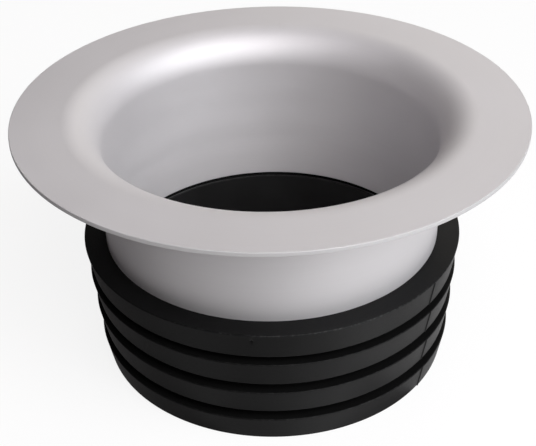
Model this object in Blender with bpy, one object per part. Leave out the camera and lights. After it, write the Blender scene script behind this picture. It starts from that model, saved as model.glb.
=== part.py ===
"""Toilet flange: a spun aluminium flange pushed into a ribbed rubber sleeve.

Metres, +Z up. The origin is the centre of the sleeve's foot, which the object stands on,
and +Z is the axis that both pieces are turned about. A profile's points are complex
numbers: the real part is the distance from that axis, the imaginary part is the height.
"""

from cmath import exp, phase
from math import acos, ceil, copysign, radians, tan, tau

import bmesh
import bpy

# Flange, spun from one disc of sheet
SHEET = 0.0012
BARREL_DIAMETER = 0.098  # outside
FLANGE_HEIGHT = 0.0498  # brim's top down to the barrel's cut edge
THROAT_RADIUS = 0.010  # roll-over from brim to barrel, on the top surface
BRIM_FLAT = 0.0142  # width of the flat ring outside the roll-over
SHEET_EDGE = 0.0003  # rounding on the rim and on the barrel's cut edge

# Sleeve, moulded in one piece
SLEEVE_WALL = 0.0018  # rubber between the socket and the floor of the top groove
RIB_COUNT = 4
RIB_PITCH = 0.01035
RIB_HEIGHT = 0.0077
TOP_RIB_HEIGHT = 0.0081
RIB_DEPTH = 0.0036  # how far a rib's upper edge stands out from the groove above it
RIB_STEP = 0.00076  # how much smaller in radius each rib is than the one above it
RIB_DRAFT = 0.00145  # how much smaller in radius a rib is at its lower edge than at its upper edge
SOCKET_DEPTH = 0.01235
SEAT_LIP = 0.0016  # how far the barrel's seat reaches in past the barrel's inner wall
RUBBER_EDGE = 0.0004  # rounding on the sleeve's outer corners

# Clearances of the barrel in its socket
SOCKET_CLEARANCE = 0.0003
SEAT_GAP = 0.0003

# Finishes: colour, roughness, metallic
SATIN_ALUMINIUM = (0.62, 0.61, 0.615), 0.42, 1.0
BLACK_RUBBER = (0.013, 0.013, 0.013), 0.55, 0.0

# Fineness of the turned surfaces
SEGMENTS = 72
CHORD_ERROR = 0.00005
SMOOTH_ANGLE = radians(40)

# Sizes that follow from those above
BARREL_OUTSIDE = BARREL_DIAMETER / 2
BARREL_INSIDE = BARREL_OUTSIDE - SHEET
BRIM_RADIUS = BARREL_INSIDE + THROAT_RADIUS + BRIM_FLAT
SOCKET_RADIUS = BARREL_OUTSIDE + SOCKET_CLEARANCE
BORE_RADIUS = BARREL_INSIDE - SEAT_LIP
TOP_GROOVE_RADIUS = SOCKET_RADIUS + SLEEVE_WALL
TOP_RIB_RADIUS = TOP_GROOVE_RADIUS + RIB_DEPTH + RIB_STEP
RIB_HEIGHTS = [TOP_RIB_HEIGHT] + [RIB_HEIGHT] * (RIB_COUNT - 1)
SLEEVE_HEIGHT = RIB_PITCH * (RIB_COUNT - 1) + RIB_HEIGHT
SEAT_LEVEL = SLEEVE_HEIGHT - SOCKET_DEPTH


def clear_scene():
    """Leaves the scene empty, so that the object is all that it holds."""
    for old in list(bpy.data.objects):
        bpy.data.objects.remove(old)


def finish(name, colour, roughness, metallic):
    """A plain material of one colour."""
    material = bpy.data.materials.new(name)
    material.use_nodes = True
    shader = material.node_tree.nodes["Principled BSDF"]
    shader.inputs["Base Color"].default_value = (*colour, 1.0)
    shader.inputs["Roughness"].default_value = roughness
    shader.inputs["Metallic"].default_value = metallic
    return material


def rounded(corners):
    """The closed outline through corners given as (point, rounding radius).

    A rounded corner becomes an arc that touches both of its sides, in as many chords as
    keep within CHORD_ERROR of it.
    """
    outline = []
    for index, (corner, radius) in enumerate(corners):
        before = corner - corners[index - 1][0]
        after = corners[(index + 1) % len(corners)][0] - corner
        if radius == 0:
            outline.append(corner)
            continue
        turn = phase(after / before)
        heading = before / abs(before)
        start = corner - heading * radius * tan(abs(turn) / 2)
        centre = start + 1j * copysign(radius, turn) * heading
        chord_turn = 2 * acos(max(0, 1 - CHORD_ERROR / radius))
        chords = ceil(abs(turn) / chord_turn)
        outline += [centre + (start - centre) * exp(1j * turn * k / chords) for k in range(chords + 1)]
    return outline


def turned(name, corners, material):
    """The solid that the rounded outline sweeps in one turn about Z."""
    shape = bmesh.new()
    ring = [shape.verts.new((point.real, 0, point.imag)) for point in rounded(corners)]
    sides = [shape.edges.new((ring[k - 1], ring[k])) for k in range(len(ring))]
    bmesh.ops.spin(
        shape,
        geom=ring + sides,
        cent=(0, 0, 0),
        axis=(0, 0, 1),
        angle=tau,
        steps=SEGMENTS,
        use_merge=True,
    )
    bmesh.ops.recalc_face_normals(shape, faces=shape.faces)
    mesh = bpy.data.meshes.new(name)
    shape.to_mesh(mesh)
    shape.free()
    mesh.shade_smooth()
    mesh.set_sharp_from_angle(angle=SMOOTH_ANGLE)
    mesh.materials.append(material)
    solid = bpy.data.objects.new(name, mesh)
    bpy.context.scene.collection.objects.link(solid)
    return solid


def rib_corners():
    """The sleeve's outside, from the top rib's upper corner down to the foot."""
    corners = []
    for rib, height in enumerate(RIB_HEIGHTS):
        top = RIB_PITCH * (RIB_COUNT - 1 - rib) + RIB_HEIGHT
        radius = TOP_RIB_RADIUS - RIB_STEP * rib
        if rib:
            corners += [(complex(radius - RIB_DEPTH, z), 0) for z in (bottom, top)]
        bottom = top - height
        corners.append((complex(radius, top), RUBBER_EDGE))
        corners.append((complex(radius - RIB_DRAFT, bottom), RUBBER_EDGE))
    return corners


def ribbed_sleeve():
    """The moulded sleeve: ribs outside, the barrel's socket and seat inside."""
    corners = rib_corners() + [
        (complex(BORE_RADIUS, 0), RUBBER_EDGE),
        (complex(BORE_RADIUS, SEAT_LEVEL), RUBBER_EDGE),
        (complex(SOCKET_RADIUS, SEAT_LEVEL), 0),
        (complex(SOCKET_RADIUS, SLEEVE_HEIGHT), RUBBER_EDGE),
    ]
    return turned("ribbed_sleeve", corners, finish("black_rubber", *BLACK_RUBBER))


def spun_flange(sleeve):
    """The spun flange, with its origin at the centre of the barrel's cut edge, on the slide's axis."""
    underside = FLANGE_HEIGHT - SHEET
    corners = [
        (complex(BRIM_RADIUS, FLANGE_HEIGHT), SHEET_EDGE),
        (complex(BRIM_RADIUS, underside), SHEET_EDGE),
        (complex(BARREL_OUTSIDE, underside), THROAT_RADIUS - SHEET),
        (complex(BARREL_OUTSIDE, 0), SHEET_EDGE),
        (complex(BARREL_INSIDE, 0), SHEET_EDGE),
        (complex(BARREL_INSIDE, FLANGE_HEIGHT), THROAT_RADIUS),
    ]
    flange = turned("spun_flange", corners, finish("spun_aluminium", *SATIN_ALUMINIUM))
    flange.parent = sleeve
    flange.location.z = SEAT_LEVEL + SEAT_GAP
    return flange


clear_scene()
spun_flange(ribbed_sleeve())
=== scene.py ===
"""Looks of the toilet flange: a spun aluminium flange seated in a ribbed rubber sleeve.

Metres, +Z up, in the part's frame. Both pieces are turned surfaces, worked out on a grid of
angles and outline points. An outline's points are complex numbers: the real part is the
distance from the axis, the imaginary part is the height. An outline runs down its outer
side, so that the turned faces point outwards.
"""

import math

import bpy
import numpy as np
from mathutils import Matrix, Vector


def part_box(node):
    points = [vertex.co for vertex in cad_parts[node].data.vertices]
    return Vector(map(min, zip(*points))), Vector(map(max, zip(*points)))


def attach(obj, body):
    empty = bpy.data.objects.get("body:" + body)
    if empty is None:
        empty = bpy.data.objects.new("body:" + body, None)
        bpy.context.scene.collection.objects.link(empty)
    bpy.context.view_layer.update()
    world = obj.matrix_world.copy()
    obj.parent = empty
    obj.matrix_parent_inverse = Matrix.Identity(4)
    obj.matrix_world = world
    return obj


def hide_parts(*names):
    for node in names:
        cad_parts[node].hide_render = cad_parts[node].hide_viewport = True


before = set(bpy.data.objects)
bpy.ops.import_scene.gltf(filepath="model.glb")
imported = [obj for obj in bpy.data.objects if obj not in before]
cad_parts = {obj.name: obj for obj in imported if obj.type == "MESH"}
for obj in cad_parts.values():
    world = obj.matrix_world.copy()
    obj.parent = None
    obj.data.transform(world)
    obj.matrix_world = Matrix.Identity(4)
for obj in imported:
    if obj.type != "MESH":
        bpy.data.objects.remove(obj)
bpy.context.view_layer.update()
FLANGE_LOW, FLANGE_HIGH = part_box("spun_flange")
_, SLEEVE_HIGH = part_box("ribbed_sleeve")

# Flange
BRIM_TOP = FLANGE_HIGH.z
BRIM_RADIUS = FLANGE_HIGH.x
BARREL_END = FLANGE_LOW.z
SHEET = 0.0012
BARREL_OUTSIDE = 0.049
BARREL_INSIDE = BARREL_OUTSIDE - SHEET
THROAT_RADIUS = 0.010  # roll-over from brim to barrel, on the top surface
RIM_ROUNDING = 0.00016
BRIM_WAVE = 0.00006
BRIM_WAVES = np.array([2, 3, 5])  # waves in one turn

# Sleeve
SLEEVE_TOP = SLEEVE_HIGH.z
TOP_RIB_RADIUS = SLEEVE_HIGH.x
RIB_COUNT = 4
RIB_PITCH = 0.01035
RIB_HEIGHT = 0.0077
TOP_RIB_HEIGHT = 0.0081
RIB_DEPTH = 0.0036  # from a rib's upper edge in to the groove above it
RIB_STEP = 0.00076  # how much smaller in radius each rib is than the one above it
RIB_DRAFT = 0.00145  # how much smaller in radius a rib is at its lower edge
SEAT_LIP = 0.0016  # how far the seat reaches in past the barrel's inner wall
SEAT_FALL = 0.0018  # how far the seat falls away behind its lip
CONTACT_GAP = 0.00003
SOCKET_RADIUS = BARREL_OUTSIDE + CONTACT_GAP
SEAT_LEVEL = BARREL_END - CONTACT_GAP
BORE_RADIUS = BARREL_INSIDE - SEAT_LIP
RIB_ROUNDING = 0.0003
GROOVE_ROUNDING = 0.0005
MOUTH_ROUNDING = 0.00006

# How far the soft sleeve is from true
FOOT_LEAN = 0.0005  # to the right, at the foot
FOOT_SPREAD = 0.00015  # outwards, at the foot
UNEVENNESS = 0.00004
UNEVEN_WAVES = np.arange(2, 9)  # waves in one turn
UNEVEN_LEAN = 60.0  # radians for each metre of height
OUTWARD_PHASE = 1
UPWARD_PHASE = 2

# Mould marks on the sleeve
PARTING_ANGLE = math.radians(-36.8)
MOULD_SHIFT = 0.00012  # of one half along the parting plane
FLASH_HEIGHT = 0.00022
FLASH_WIDTH = 0.00018
GATE_ANGLE = math.radians(-96)
GATE_LEVEL = 0.0367
GATE_WIDTH = 0.0004
GATE_DEPTH = 0.0004

# Painted light, painted highlights and chalk on the sleeve, as shares: painted light on the ribs'
# faces, where the lamps fall, most at the foot and round one angle, chalk in the bore, and painted
# highlights on the edges, most on the top rib towards one angle
FACE_PAINTED_LIGHT = 0.33
FOOT_PAINTED_LIGHT = 0.20
PAINTED_LIGHT_ANGLE = math.radians(-67)
PAINTED_LIGHT_POWER = 34
BORE_CHALK = 0.24
OTHER_EDGES = 0.35
LIP_EDGE = 0.8
HIGHLIGHT_ANGLE = math.radians(-65)
HIGHLIGHT_POWER = 6

# Fineness of the turned grids
CHORD_ERROR = 0.000006
SIDE_STEP = 0.0018
SUPPORT = 0.00012  # from an arc's end to the next point
TURN_STEPS = 288
MARK_STEPS = 21  # close steps across a mould mark
MARK_REACH = 4  # to each side, in widths of the mark
TINY = 1e-9

# Finishes: sizes and depths in metres, and stretches as (low, high). The first stretch of a
# noise is the part of its values that is used, and the others are what it is taken to.
SHARE = (0.0, 1.0)
TOOL_RING_SIZE = 0.0009
TOOL_RING_DETAIL = 3
TOOL_RING_DEPTH = 0.000006
ROLLER_BAND_SIZE = 0.006
ROLLER_BAND_DETAIL = 1
RINGS_USED = (0.6, 1.4)
RINGS_ROUGHNESS = (-0.02, 0.03)
CLOUD_SIZE = 0.030
CLOUD_DETAIL = 4
CLOUDS_USED = (0.3, 0.7)
CLOUDS_ROUGHNESS = (0.66, 0.70)
CUT_ROUGHNESS = (0.0, 0.05)
DARKER_ALUMINIUM = (0.771, 0.754, 0.765)
LIGHTER_ALUMINIUM = (0.789, 0.772, 0.783)
CUT_ALUMINIUM = (0.684, 0.675, 0.680)
ALUMINIUM_METALLIC = 0.7

BLOOM_SIZE = 0.014
BLOOM_DETAIL = 6
BLOOM_USED = (0.35, 0.7)
BLOOM_ROUGHNESS = (0.46, 0.54)
PALE_VARIATION_USED = (0.3, 0.7)
PALE_VARIATION = (0.85, 1.15)
GRAIN_SIZE = 0.0005
GRAIN_DETAIL = 2
GRAIN_DEPTH = 0.000012
GRAIN_USED = (0.3, 0.7)
GRAIN_ROUGHNESS = (-0.04, 0.04)
FLECK_SIZE = 0.0009
FLECK_DETAIL = 3
FLECK_DEPTH = 0.000012
FLECKS_USED = (0.45, 0.70)
HIGHLIGHT_BREAKUP = (0.1, 1.0)
CLEAN_RUBBER = (0.0027, 0.0027, 0.0028)
BLOOMED_RUBBER = (0.0045, 0.0045, 0.0047)
# Painted light on the ribs' faces, and chalk in the bore
PAINTED_LIGHT_AND_CHALK_RUBBER = (0.040, 0.040, 0.040)
# Painted shade in the ledges, the seat and the gate's pit
PAINTED_SHADE_RUBBER = (0.0027, 0.0027, 0.0027)
# Painted highlight on the edges
PAINTED_HIGHLIGHT_RUBBER = (0.063, 0.063, 0.063)
RUBBER_SPECULAR = 0.09
RUBBER_SHEEN = 0.072
RUBBER_SHEEN_ROUGHNESS = 0.4

# Colour sockets of a Mix node
MIX_COLOURS = (6, 7)
MIX_RESULT = 2

# Camera, fitted to the photograph
EYE = Vector((0.0, -0.2824, 0.2223))
AIM = Vector((-0.00105, 0.0, 0.0374))
ROLL = math.radians(1.14)
LENS = 75.9
CLIP_START = 0.01

# Stage: a floor and a round wall
STAGE_RADIUS = 6.0
WALL_HEIGHT = 4.0
WALL_STEPS = 96
FLOOR_GREY = 0.144
FLOOR_GLOW = 0.86

# Light: a room that glows, and softboxes at one distance from the object, each with its
# direction in degrees round from the right and up, its width and height, its power in watts
# and its colour
ROOM_GLOW = 0.063
LIGHT_DISTANCE = 1.6
WHITE = (1.0, 1.0, 1.0)
COOL = (0.965, 0.998, 1.04)
ROSY = (1.06, 0.95, 0.98)
WARM = (1.06, 1.015, 0.92)
SOFTBOXES = {
    "front_right": (-62, 44, 1.0, 1.1, 16.6, WHITE),
    "right": (-28, 36, 1.0, 1.1, 13.1, COOL),
    "front_top": (-80, 68, 0.8, 0.7, 3.9, ROSY),
    "back": (75, 30, 0.8, 0.7, 3.4, WARM),
}

# Light that the lit table throws back: cards that face up from just under the floor, which
# lets it through, each with its sides to the left, right, front and back, and its power
CARD_DEPTH = 0.002
TABLE_CARDS = {
    "table_right": (0.042, 0.5, -0.5, 0.25, 0.91),
    "table_front": (-0.15, 0.06, -0.5, -0.05, 0.139),
    "table_back": (-0.2, 0.06, 0.06, 0.6, 0.367),
    "table_left": (-0.5, -0.15, -0.5, 0.25, 0.0555),
    "table_foot": (-0.068, -0.02, -0.068, 0.03, 0.00144),
}


def rounded_outline(corners):
    """The closed outline through corners given as (radius from the axis, height, rounding).

    Each corner is an arc that touches both of its sides. Each side has a support point close
    to the arcs at its ends, and evenly spaced points between those.
    """
    point = np.array([complex(radius, height) for radius, height, _ in corners])
    rounding = np.array([corner[2] for corner in corners])
    before = point - np.roll(point, 1)
    turn = np.angle(np.roll(before, -1) / before)
    heading = before / abs(before)
    start = point - heading * rounding * np.tan(abs(turn) / 2)
    centre = start + 1j * np.copysign(rounding, turn) * heading
    chord_turn = 2 * np.arccos(1 - CHORD_ERROR / rounding)
    chords = np.ceil(abs(turn) / chord_turn - TINY).astype(int)
    stretches = []
    for k, following in enumerate(np.roll(start, -1)):
        swing = np.exp(1j * turn[k] * np.linspace(0, 1, chords[k] + 1))
        arc = centre[k] + (start[k] - centre[k]) * swing
        side = following - arc[-1]
        lead = SUPPORT * side / abs(side)
        steps = math.ceil(abs(side) / SIDE_STEP) + 1
        stretches += [arc, np.linspace(arc[-1] + lead, following - lead, steps)]
    return np.concatenate(stretches)


def nearness(outline, starts, ends, reach):
    """How near each outline point is to the straight lines between corners.

    It is 1 on a line and a bell curve beside it. A corner is a line that ends where it starts.
    """
    start = np.array([complex(radius, height) for radius, height, _ in starts])
    span = np.array([complex(radius, height) for radius, height, _ in ends]) - start
    along = ((outline[:, None] - start) * span.conj()).real / np.maximum(abs(span) ** 2, TINY)
    gap = abs(outline[:, None] - start - np.clip(along, 0, 1) * span).min(axis=1)
    return np.exp(-(gap / reach) ** 2)


def turned_piece(name, section, angles, marks):
    """The section carried round Z: grid point (i, j) is section point j at angle i.

    marks are values on that grid, or on the outline alone, which the mesh keeps as
    attributes for its finish.
    """
    x = section.real * np.cos(angles)[:, None]
    y = section.real * np.sin(angles)[:, None]
    points = np.stack([x, y, section.imag], axis=-1)
    corner = np.arange(section.size).reshape(section.shape)
    below = np.roll(corner, -1, axis=1)
    faces = np.stack([corner, below, np.roll(below, -1, axis=0), np.roll(corner, -1, axis=0)], axis=-1)
    mesh = bpy.data.meshes.new(name)
    mesh.from_pydata(points.reshape(-1, 3), [], faces.reshape(-1, 4).tolist())
    mesh.shade_smooth()
    for mark, values in marks.items():
        layer = mesh.attributes.new(mark, "FLOAT", "POINT")
        values = np.broadcast_to(values, section.shape).ravel().astype(np.float32)
        layer.data.foreach_set("value", values)
    piece = bpy.data.objects.new(name, mesh)
    bpy.context.scene.collection.objects.link(piece)
    return piece


def spun_flange():
    """The flange: brim, rolled throat and barrel, one sheet of even thickness.

    The brim is a little wavy: its height dips by a sum of cosines round the axis, which grows
    with the square of the distance from the throat.
    """
    underside = BRIM_TOP - SHEET
    rim = [(BRIM_RADIUS, BRIM_TOP, RIM_ROUNDING), (BRIM_RADIUS, underside, RIM_ROUNDING)]
    cut_edge = [(BARREL_OUTSIDE, BARREL_END, RIM_ROUNDING), (BARREL_INSIDE, BARREL_END, RIM_ROUNDING)]
    under_throat = (BARREL_OUTSIDE, underside, THROAT_RADIUS - SHEET)
    throat = (BARREL_INSIDE, BRIM_TOP, THROAT_RADIUS)
    outline = rounded_outline([*rim, under_throat, *cut_edge, throat])
    angles = np.linspace(0, math.tau, TURN_STEPS, endpoint=False)
    throat_edge = BARREL_INSIDE + THROAT_RADIUS
    out = np.clip((outline.real - throat_edge) / (BRIM_RADIUS - throat_edge), 0, 1) ** 2
    dip = np.cos(BRIM_WAVES * angles[:, None] + BRIM_WAVES ** 2).mean(axis=1) - 1
    section = outline + 1j * BRIM_WAVE * dip[:, None] * out
    along = np.concatenate([[0], np.cumsum(abs(np.diff(outline)))])
    cut = nearness(outline, [rim[0], cut_edge[0]], [rim[1], cut_edge[1]], RIM_ROUNDING)
    return turned_piece("spun_flange_shell", section, angles, {"along": along, "cut": cut})


def rib_corners():
    """Every rib's two corners, from the top rib down, each as (radius, height, rounding)."""
    corners = []
    for rib in range(RIB_COUNT):
        top = SLEEVE_TOP - RIB_PITCH * rib
        bottom = top - (RIB_HEIGHT if rib else TOP_RIB_HEIGHT)
        radius = TOP_RIB_RADIUS - RIB_STEP * rib
        corners += [(radius, top, RIB_ROUNDING), (radius - RIB_DRAFT, bottom, RIB_ROUNDING)]
    return corners


def sleeve_corners():
    """The sleeve's corners: down the ribs, in under the foot, up the bore, seat and socket.

    Three of them lie flat on the top rib's face, so that the gate's mark has points to move.
    """
    ribs = rib_corners()
    upper, lower = ribs[:2]
    gate_levels = GATE_LEVEL + GATE_WIDTH * np.array([1, 0, -1])
    gate_radii = np.interp(gate_levels, [lower[1], upper[1]], [lower[0], upper[0]])
    by_gate = [(radius, level, RIB_ROUNDING) for radius, level in zip(gate_radii, gate_levels)]
    corners = [upper, *by_gate, lower]
    for above, upper, lower in zip(ribs[1::2], ribs[2::2], ribs[3::2]):
        groove = upper[0] - RIB_DEPTH
        corners += [(groove, above[1], GROOVE_ROUNDING), (groove, upper[1], GROOVE_ROUNDING)]
        corners += [upper, lower]
    return corners + [
        (BORE_RADIUS, 0.0, RIB_ROUNDING),
        (BORE_RADIUS, SEAT_LEVEL, RIB_ROUNDING),
        (SOCKET_RADIUS, SEAT_LEVEL - SEAT_FALL, GROOVE_ROUNDING),
        (SOCKET_RADIUS, SLEEVE_TOP, MOUTH_ROUNDING),
    ]


def sleeve_angles():
    """Even steps round the axis, with close steps by the two parting lines and the gate."""
    even = np.linspace(0, math.tau, TURN_STEPS, endpoint=False)
    close = np.linspace(-MARK_REACH, MARK_REACH, MARK_STEPS) / TOP_RIB_RADIUS
    by_line = PARTING_ANGLE + close * FLASH_WIDTH
    by_gate = GATE_ANGLE + close * GATE_WIDTH
    return np.unique(np.concatenate([even, by_line, by_line + math.pi, by_gate]) % math.tau)


def parting_marks(angles):
    """How far the two-part mould brought the outside out, at each angle.

    One half of the mould sat a little along the parting plane from the other, so points on
    that half move by MOULD_SHIFT along the plane. A thin ridge of flash, a bell curve, stands
    on the lines between the halves.
    """
    past_line = angles - PARTING_ANGLE
    across = np.sin(past_line) * TOP_RIB_RADIUS
    half = np.clip(1 / 2 + across / FLASH_WIDTH, 0, 1)
    flash = FLASH_HEIGHT * np.exp(-(across / FLASH_WIDTH) ** 2)
    return flash + MOULD_SHIFT * np.cos(past_line) * half


def gate_pit(angles, outline):
    """1 in the middle of the gate's round pit: a bell curve of the distance from there."""
    aside = np.angle(np.exp(1j * (angles - GATE_ANGLE)))[:, None] * TOP_RIB_RADIUS
    return np.exp(-(np.hypot(aside, outline.imag - GATE_LEVEL) / GATE_WIDTH) ** 2)


def unevenness(angles, heights, phase):
    """About 1 high: a sum of cosines round the axis, each leaning its own way up the height."""
    swing = UNEVEN_WAVES * angles[:, None, None] + phase * UNEVEN_WAVES ** 2
    swing = swing + UNEVEN_LEAN * UNEVEN_WAVES * np.cos(UNEVEN_WAVES) * heights[:, None]
    return (np.cos(swing) / UNEVEN_WAVES).sum(axis=-1)


def facing(angles, middle, power):
    """1 at the middle angle, down to 0 on the far side: a raised cosine to a power."""
    return ((1 + np.cos(angles - middle)) / 2) ** power


def sleeve_light_shade_and_chalk(angles, outline, depth, gate):
    """Shares of painted edge highlight, painted light and chalk, and painted shade: nearness to
    corners, faces and ledges.

    The painted highlights on the edges and the painted light on the faces are each strongest towards
    one angle, where the lamps fall. The ledges on top of the lower ribs, the seat and the gate's pit
    get painted shade.
    """
    ribs = rib_corners()
    bore_foot, bore_lip, seat, _ = sleeve_corners()[-4:]
    # Painted shade on the ledges on top of the lower ribs and on the seat; the gate's pit is added
    # below
    ledges = [(upper[0] - RIB_DEPTH, upper[1], 0) for upper in ribs[2::2]]
    ends = [(upper[0] - RIB_ROUNDING, upper[1], 0) for upper in ribs[2::2]]
    painted_shade = nearness(outline, [*ledges, seat], [*ends, bore_lip], RIB_ROUNDING)
    # Painted light on the ribs' faces, strongest round one angle where the lamps fall and growing
    # towards the foot where the table's light falls; chalk in the bore
    faces = (FACE_PAINTED_LIGHT + FOOT_PAINTED_LIGHT * depth) * nearness(outline, ribs[::2], ribs[1::2], RIB_ROUNDING)
    bore = BORE_CHALK * nearness(outline, [bore_foot], [bore_lip], RIB_ROUNDING)
    painted_light_and_chalk = facing(angles, PAINTED_LIGHT_ANGLE, PAINTED_LIGHT_POWER)[:, None] * faces + bore
    # Painted highlights along the top rib's and the lower ribs' upper edges, strongest towards one
    # angle, and along the seat's lip
    top_edge = nearness(outline, ribs[:1], ribs[:1], RIB_ROUNDING)
    other_edges = nearness(outline, ribs[2::2], ribs[2::2], RIB_ROUNDING)
    lip_edge = nearness(outline, [bore_lip], [bore_lip], RIB_ROUNDING)
    highlight_facing = facing(angles, HIGHLIGHT_ANGLE, HIGHLIGHT_POWER)[:, None]
    painted_edge_highlight = highlight_facing * (top_edge + OTHER_EDGES * other_edges) + LIP_EDGE * lip_edge
    return {"painted_edge_highlight": painted_edge_highlight, "painted_light_and_chalk": painted_light_and_chalk, "painted_shade": np.maximum(painted_shade, gate)}


def ribbed_sleeve():
    """The sleeve, not quite true, with the marks of its mould.

    Going down, the soft outside leans to the right and spreads, in proportion to the depth.
    It is also uneven, outwards and upwards, and the foot stays level.
    """
    outline = rounded_outline(sleeve_corners())
    angles = sleeve_angles()
    outside = outline.real > SOCKET_RADIUS + 2 * RIB_ROUNDING
    gate = gate_pit(angles, outline) * outside
    depth = 1 - outline.imag / SLEEVE_TOP
    untrue = (FOOT_SPREAD + FOOT_LEAN * np.cos(angles))[:, None] * depth
    uneven = UNEVENNESS * unevenness(angles, outline.imag, OUTWARD_PHASE)
    proud = parting_marks(angles)[:, None] + untrue + uneven
    above_foot = np.clip(outline.imag / RIB_HEIGHT, 0, 1)
    lift = UNEVENNESS * unevenness(angles, outline.imag, UPWARD_PHASE) * above_foot
    section = outline + (proud + 1j * lift) * outside - GATE_DEPTH * gate
    light_shade_and_chalk = sleeve_light_shade_and_chalk(angles, outline, depth, gate)
    return turned_piece("ribbed_sleeve_moulding", section, angles, light_shade_and_chalk)


def new_finish(name):
    """An empty finish, with its node tree and its shader."""
    material = bpy.data.materials.new(name)
    material.use_nodes = True
    return material, material.node_tree, material.node_tree.nodes["Principled BSDF"]


def attribute(tree, name):
    """A value that the mesh keeps at its points."""
    node = tree.nodes.new("ShaderNodeAttribute")
    node.attribute_name = name
    return node.outputs["Fac"]


def mottle(tree, size, detail):
    """Cloudy noise over the piece, with features of about that size in metres."""
    place = tree.nodes.new("ShaderNodeTexCoord")
    node = tree.nodes.new("ShaderNodeTexNoise")
    node.inputs["Scale"].default_value = 1 / size
    node.inputs["Detail"].default_value = detail
    tree.links.new(place.outputs["Object"], node.inputs["Vector"])
    return node.outputs["Fac"]


def rings(tree, distance, size, detail):
    """Noise along one distance only, so that it runs round the piece in rings."""
    node = tree.nodes.new("ShaderNodeTexNoise")
    node.noise_dimensions = "1D"
    node.inputs["Scale"].default_value = 1 / size
    node.inputs["Detail"].default_value = detail
    tree.links.new(distance, node.inputs["W"])
    return node.outputs["Fac"]


def between(tree, value, used, taken_to):
    """Takes one stretch of a value onto another stretch, and holds it at the ends."""
    node = tree.nodes.new("ShaderNodeMapRange")
    for socket, number in zip(("From Min", "From Max", "To Min", "To Max"), (*used, *taken_to)):
        node.inputs[socket].default_value = number
    tree.links.new(value, node.inputs["Value"])
    return node.outputs["Result"]


def combine(tree, operation, first, second):
    """Two values joined by a Math node."""
    node = tree.nodes.new("ShaderNodeMath")
    node.operation = operation
    tree.links.new(first, node.inputs[0])
    tree.links.new(second, node.inputs[1])
    return node.outputs["Value"]


def tinted(tree, share, first, second):
    """A colour between two: each is a colour, or a socket that gives one."""
    node = tree.nodes.new("ShaderNodeMix")
    node.data_type = "RGBA"
    tree.links.new(share, node.inputs["Factor"])
    for index, colour in zip(MIX_COLOURS, (first, second)):
        if isinstance(colour, tuple):
            node.inputs[index].default_value = (*colour, 1)
        else:
            tree.links.new(colour, node.inputs[index])
    return node.outputs[MIX_RESULT]


def relief(tree, height, depth, below=None):
    """A bump as deep as the height value says, on top of another bump."""
    node = tree.nodes.new("ShaderNodeBump")
    node.inputs["Distance"].default_value = depth
    tree.links.new(height, node.inputs["Height"])
    if below:
        tree.links.new(below, node.inputs["Normal"])
    return node.outputs["Normal"]


def satin_aluminium():
    """Satin spun aluminium: faint rings from the spinning tool, cloudy dulling, dull cut edges."""
    material, tree, shader = new_finish("satin_aluminium")
    along = attribute(tree, "along")
    cut = attribute(tree, "cut")
    tool_rings = rings(tree, along, TOOL_RING_SIZE, TOOL_RING_DETAIL)
    roller_bands = rings(tree, along, ROLLER_BAND_SIZE, ROLLER_BAND_DETAIL)
    clouds = mottle(tree, CLOUD_SIZE, CLOUD_DETAIL)

    cloud_share = between(tree, clouds, CLOUDS_USED, SHARE)
    colour = tinted(tree, cloud_share, DARKER_ALUMINIUM, LIGHTER_ALUMINIUM)
    colour = tinted(tree, cut, colour, CUT_ALUMINIUM)
    tree.links.new(colour, shader.inputs["Base Color"])
    shader.inputs["Metallic"].default_value = ALUMINIUM_METALLIC

    dulling = between(tree, clouds, CLOUDS_USED, CLOUDS_ROUGHNESS)
    turning = between(tree, combine(tree, "ADD", tool_rings, roller_bands), RINGS_USED, RINGS_ROUGHNESS)
    cut_dulling = between(tree, cut, SHARE, CUT_ROUGHNESS)
    roughness = combine(tree, "ADD", combine(tree, "ADD", dulling, turning), cut_dulling)
    tree.links.new(roughness, shader.inputs["Roughness"])
    tree.links.new(relief(tree, tool_rings, TOOL_RING_DEPTH), shader.inputs["Normal"])
    return material


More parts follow.
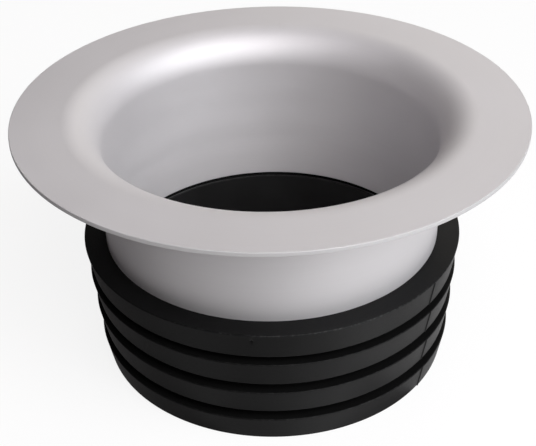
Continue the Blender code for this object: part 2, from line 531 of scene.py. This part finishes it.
def black_rubber():
    """Matte moulded rubber: fine grain, grey bloom, painted light on the faces and chalk in the bore,
    painted shade on the ledges, painted highlights on the edges.
    """
    material, tree, shader = new_finish("black_rubber")
    painted_edge_highlight = attribute(tree, "painted_edge_highlight")
    painted_light_and_chalk = attribute(tree, "painted_light_and_chalk")
    painted_shade = attribute(tree, "painted_shade")
    bloom = mottle(tree, BLOOM_SIZE, BLOOM_DETAIL)
    grain = mottle(tree, GRAIN_SIZE, GRAIN_DETAIL)
    flecks = mottle(tree, FLECK_SIZE, FLECK_DETAIL)

    colour = tinted(tree, between(tree, bloom, BLOOM_USED, SHARE), CLEAN_RUBBER, BLOOMED_RUBBER)
    # Painted light on the faces and chalk in the bore, varied by the bloom
    pale_share = combine(tree, "MULTIPLY", painted_light_and_chalk, between(tree, bloom, PALE_VARIATION_USED, PALE_VARIATION))
    colour = tinted(tree, pale_share, colour, PAINTED_LIGHT_AND_CHALK_RUBBER)
    # Painted shade on the ledges, the seat and the gate's pit
    colour = tinted(tree, painted_shade, colour, PAINTED_SHADE_RUBBER)
    # Painted highlights on the edges, broken up by flecks
    edge_highlight = combine(tree, "MULTIPLY", painted_edge_highlight, between(tree, flecks, FLECKS_USED, HIGHLIGHT_BREAKUP))
    colour = tinted(tree, edge_highlight, colour, PAINTED_HIGHLIGHT_RUBBER)
    tree.links.new(colour, shader.inputs["Base Color"])
    shader.inputs["Specular IOR Level"].default_value = RUBBER_SPECULAR
    shader.inputs["Sheen Weight"].default_value = RUBBER_SHEEN
    shader.inputs["Sheen Roughness"].default_value = RUBBER_SHEEN_ROUGHNESS

    bloom_roughness = between(tree, bloom, BLOOM_USED, BLOOM_ROUGHNESS)
    grain_roughness = between(tree, grain, GRAIN_USED, GRAIN_ROUGHNESS)
    tree.links.new(combine(tree, "ADD", bloom_roughness, grain_roughness), shader.inputs["Roughness"])
    fleck_relief = relief(tree, flecks, FLECK_DEPTH)
    tree.links.new(relief(tree, grain, GRAIN_DEPTH, fleck_relief), shader.inputs["Normal"])
    return material


def stage_surface(name, corners, faces):
    """A plain pale surface, which glows a little, as a lit table does.

    It takes the object's shadow. It throws no light back on the object, and lets the light of
    the cards under it through.
    """
    mesh = bpy.data.meshes.new(name)
    mesh.from_pydata(corners, [], faces)
    surface = bpy.data.objects.new(name, mesh)
    bpy.context.scene.collection.objects.link(surface)
    material, _, shader = new_finish("pale_" + name)
    shader.inputs["Base Color"].default_value = (FLOOR_GREY, FLOOR_GREY, FLOOR_GREY, 1)
    shader.inputs["Roughness"].default_value = 1.0
    shader.inputs["Specular IOR Level"].default_value = 0.0
    shader.inputs["Emission Color"].default_value = (*WHITE, 1)
    shader.inputs["Emission Strength"].default_value = FLOOR_GLOW
    mesh.materials.append(material)
    surface.visible_diffuse = False
    surface.visible_glossy = False
    surface.visible_shadow = False


def studio_stage():
    """A square floor, and a round wall that stands on it: grid point (i, j) is height j at angle i."""
    side = STAGE_RADIUS
    square = [(-side, -side, 0), (side, -side, 0), (side, side, 0), (-side, side, 0)]
    stage_surface("floor", square, [(0, 1, 2, 3)])
    angles = np.linspace(0, math.tau, WALL_STEPS, endpoint=False)
    foot = np.stack([STAGE_RADIUS * np.cos(angles), STAGE_RADIUS * np.sin(angles), 0 * angles], axis=-1)
    low = np.arange(WALL_STEPS)
    after = np.roll(low, -1)
    faces = np.stack([low, low + WALL_STEPS, after + WALL_STEPS, after], axis=-1)
    stage_surface("backdrop", np.concatenate([foot, foot + (0, 0, WALL_HEIGHT)]), faces.tolist())


def studio_camera():
    """The camera at the photograph's viewing angle."""
    camera = bpy.data.objects.new("camera", bpy.data.cameras.new("camera"))
    camera.data.lens = LENS
    camera.data.clip_start = CLIP_START
    turn = (AIM - EYE).to_track_quat("-Z", "Y").to_matrix() @ Matrix.Rotation(-ROLL, 3, "Z")
    camera.matrix_world = Matrix.Translation(EYE) @ turn.to_4x4()
    bpy.context.scene.collection.objects.link(camera)
    bpy.context.scene.camera = camera


def flat_light(name, width, length, watts, colour, placing):
    """A rectangular light that shines along its own -Z from where the placing puts it."""
    lamp = bpy.data.lights.new(name, "AREA")
    lamp.shape = "RECTANGLE"
    lamp.size = width
    lamp.size_y = length
    lamp.energy = watts
    lamp.color = colour
    light = bpy.data.objects.new(name, lamp)
    light.matrix_world = placing
    bpy.context.scene.collection.objects.link(light)


def softbox(name, azimuth, elevation, width, height, watts, colour):
    """A soft rectangular light that faces the middle of the object."""
    round_z = Matrix.Rotation(math.radians(azimuth), 3, "Z")
    upwards = Matrix.Rotation(math.radians(-elevation), 3, "Y")
    offset = round_z @ upwards @ Vector((LIGHT_DISTANCE, 0, 0))
    turn = (-offset).to_track_quat("-Z", "Y").to_matrix().to_4x4()
    flat_light(name, width, height, watts, colour, Matrix.Translation(AIM + offset) @ turn)


def table_card(name, left, right, front, back, watts):
    """A flat rectangular light that faces up."""
    middle = Vector(((left + right) / 2, (front + back) / 2, -CARD_DEPTH))
    placing = Matrix.Translation(middle) @ Matrix.Rotation(math.pi, 4, "X")
    flat_light(name, right - left, back - front, watts, WHITE, placing)


def studio_light():
    """Softboxes at the front right, above and behind, a lit table, and a room that glows a little."""
    for name, setting in SOFTBOXES.items():
        softbox(name, *setting)
    for name, setting in TABLE_CARDS.items():
        table_card(name, *setting)
    world = bpy.data.worlds.new("studio")
    world.use_nodes = True
    background = world.node_tree.nodes["Background"]
    background.inputs["Color"].default_value = (*ROSY, 1)
    background.inputs["Strength"].default_value = ROOM_GLOW
    bpy.context.scene.world = world


def dress(piece, body, node, material):
    """Gives a piece its finish and the body it rides on, and hides the CAD node it stands for."""
    piece.data.materials.append(material)
    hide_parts(node)
    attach(piece, body)


dress(spun_flange(), "flange", "spun_flange", satin_aluminium())
dress(ribbed_sleeve(), "sleeve", "ribbed_sleeve", black_rubber())
studio_stage()
studio_light()
studio_camera()
bpy.context.scene.view_settings.view_transform = "Standard"
